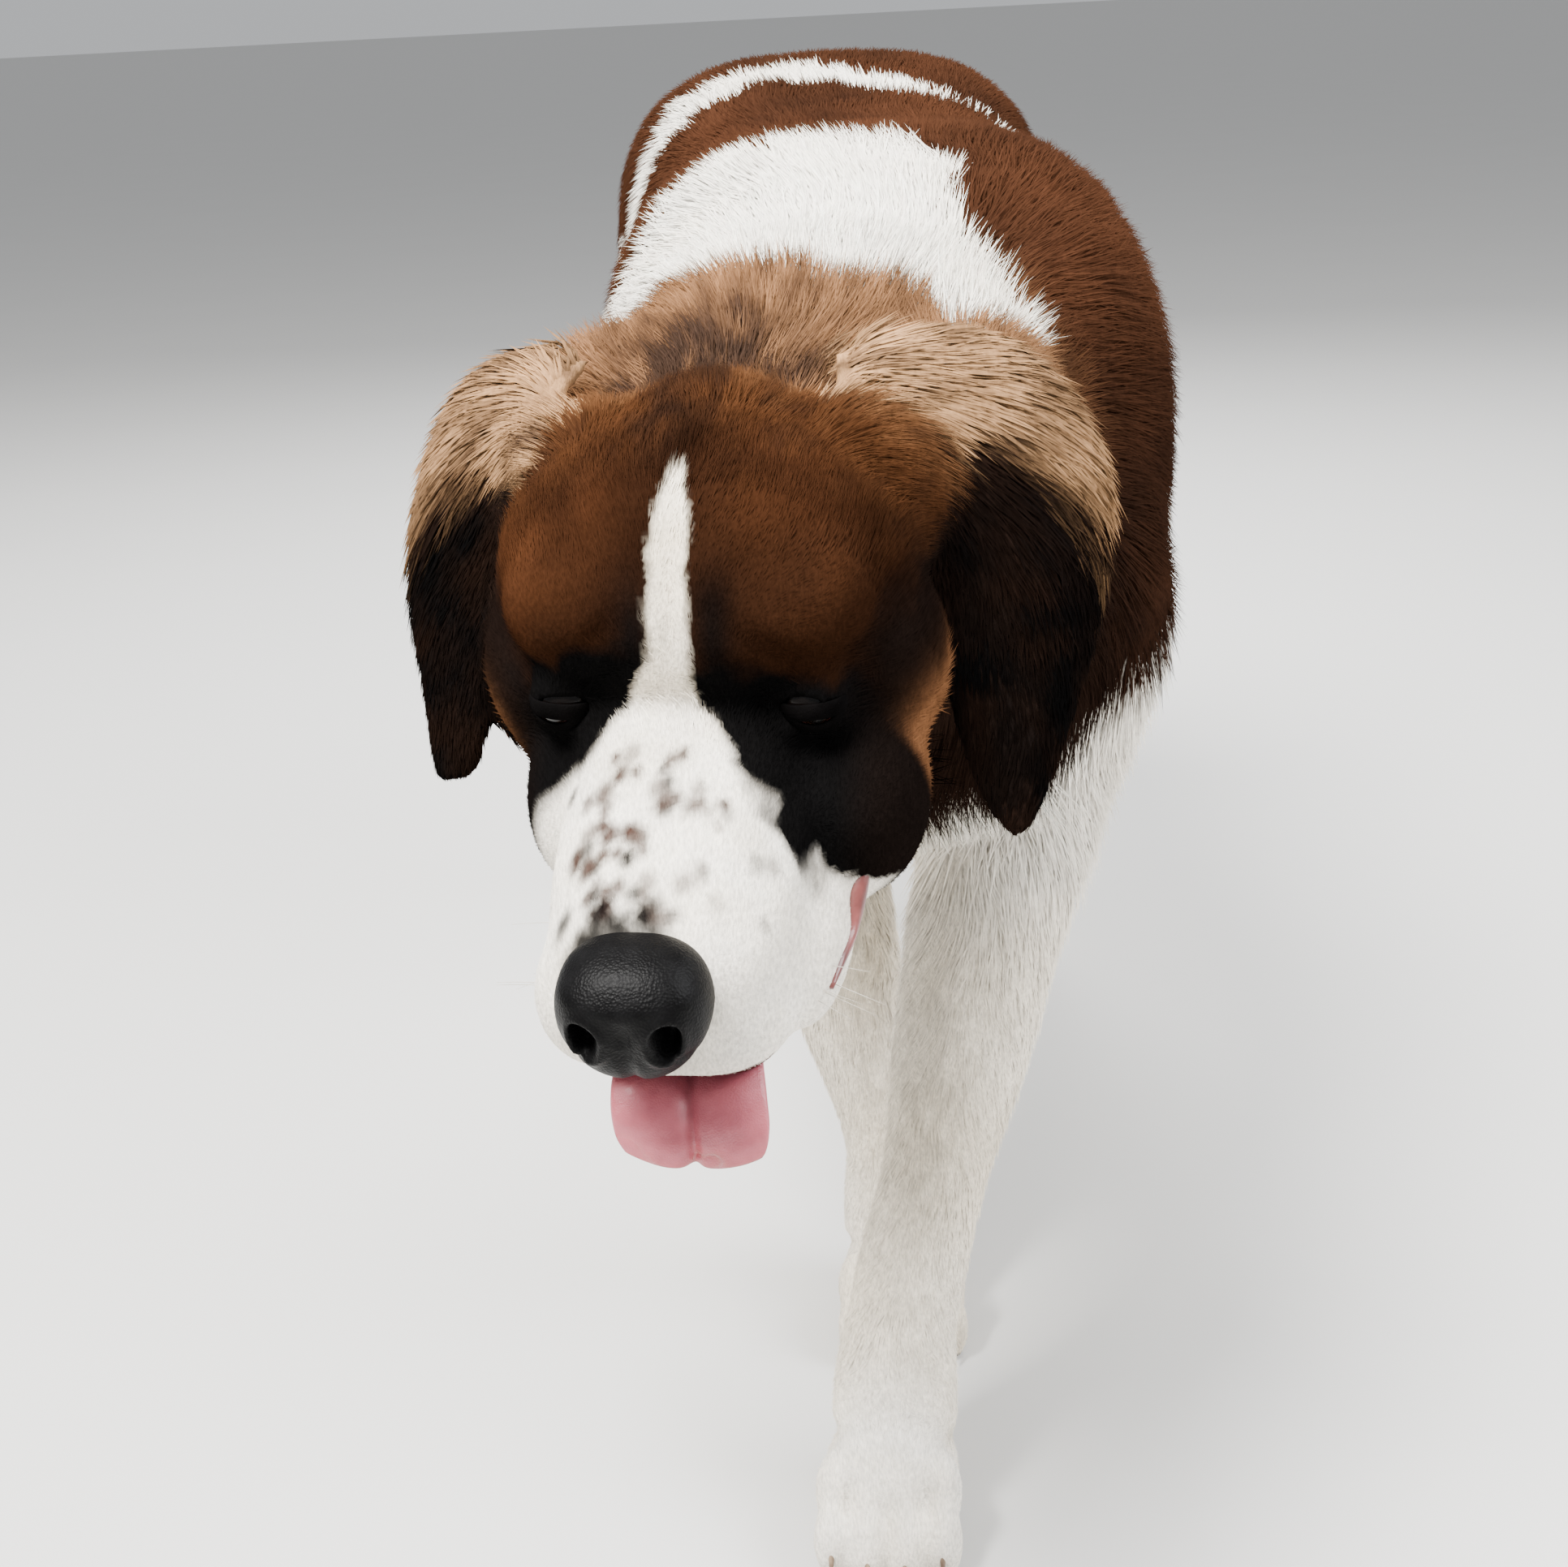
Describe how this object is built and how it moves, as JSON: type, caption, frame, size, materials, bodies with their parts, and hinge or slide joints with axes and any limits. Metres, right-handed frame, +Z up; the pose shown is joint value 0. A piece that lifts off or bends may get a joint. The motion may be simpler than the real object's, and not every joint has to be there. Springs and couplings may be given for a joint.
{
  "type": "saint bernard dog model",
  "caption": "Life-size still model of a red and white Saint Bernard walking with lowered, turned head and tongue showing.",
  "frame": {"origin": "on the floor, under the middle of the model's overall box, at the level of the four paw soles", "axes": "+Z up, the dog walks towards -Y, its left side towards +X"},
  "size_m": [0.441, 1.4788, 0.7986],
  "materials": {
    "white_coat": "white and cream fur, soft and matt",
    "red_coat": "red-brown fur, soft, slightly glossy",
    "dark_coat": "near-black brown fur, soft",
    "nose_leather": "moist black, finely grained",
    "eye": "wet, dark brown, glossy",
    "tongue": "moist pink",
    "claw": "horn, satin"
  },
  "bodies": {
    "root": {"ear_left": "dark_coat", "ear_right": "dark_coat", "eye_left": "eye", "eye_right": "eye", "foreleg_left": "white_coat", "foreleg_right": "white_coat", "forepaw_left": "white_coat", "forepaw_right": "white_coat", "head": "red_coat", "hindpaw_left": "white_coat", "hindpaw_right": "white_coat", "lower_jaw": "white_coat", "neck": "white_coat", "nose": "nose_leather", "shank_left": "white_coat", "shank_right": "white_coat", "tail": "red_coat", "thigh_left": "white_coat", "thigh_right": "white_coat", "tongue": "tongue", "torso": "red_coat"}
  },
  "joints": []
}
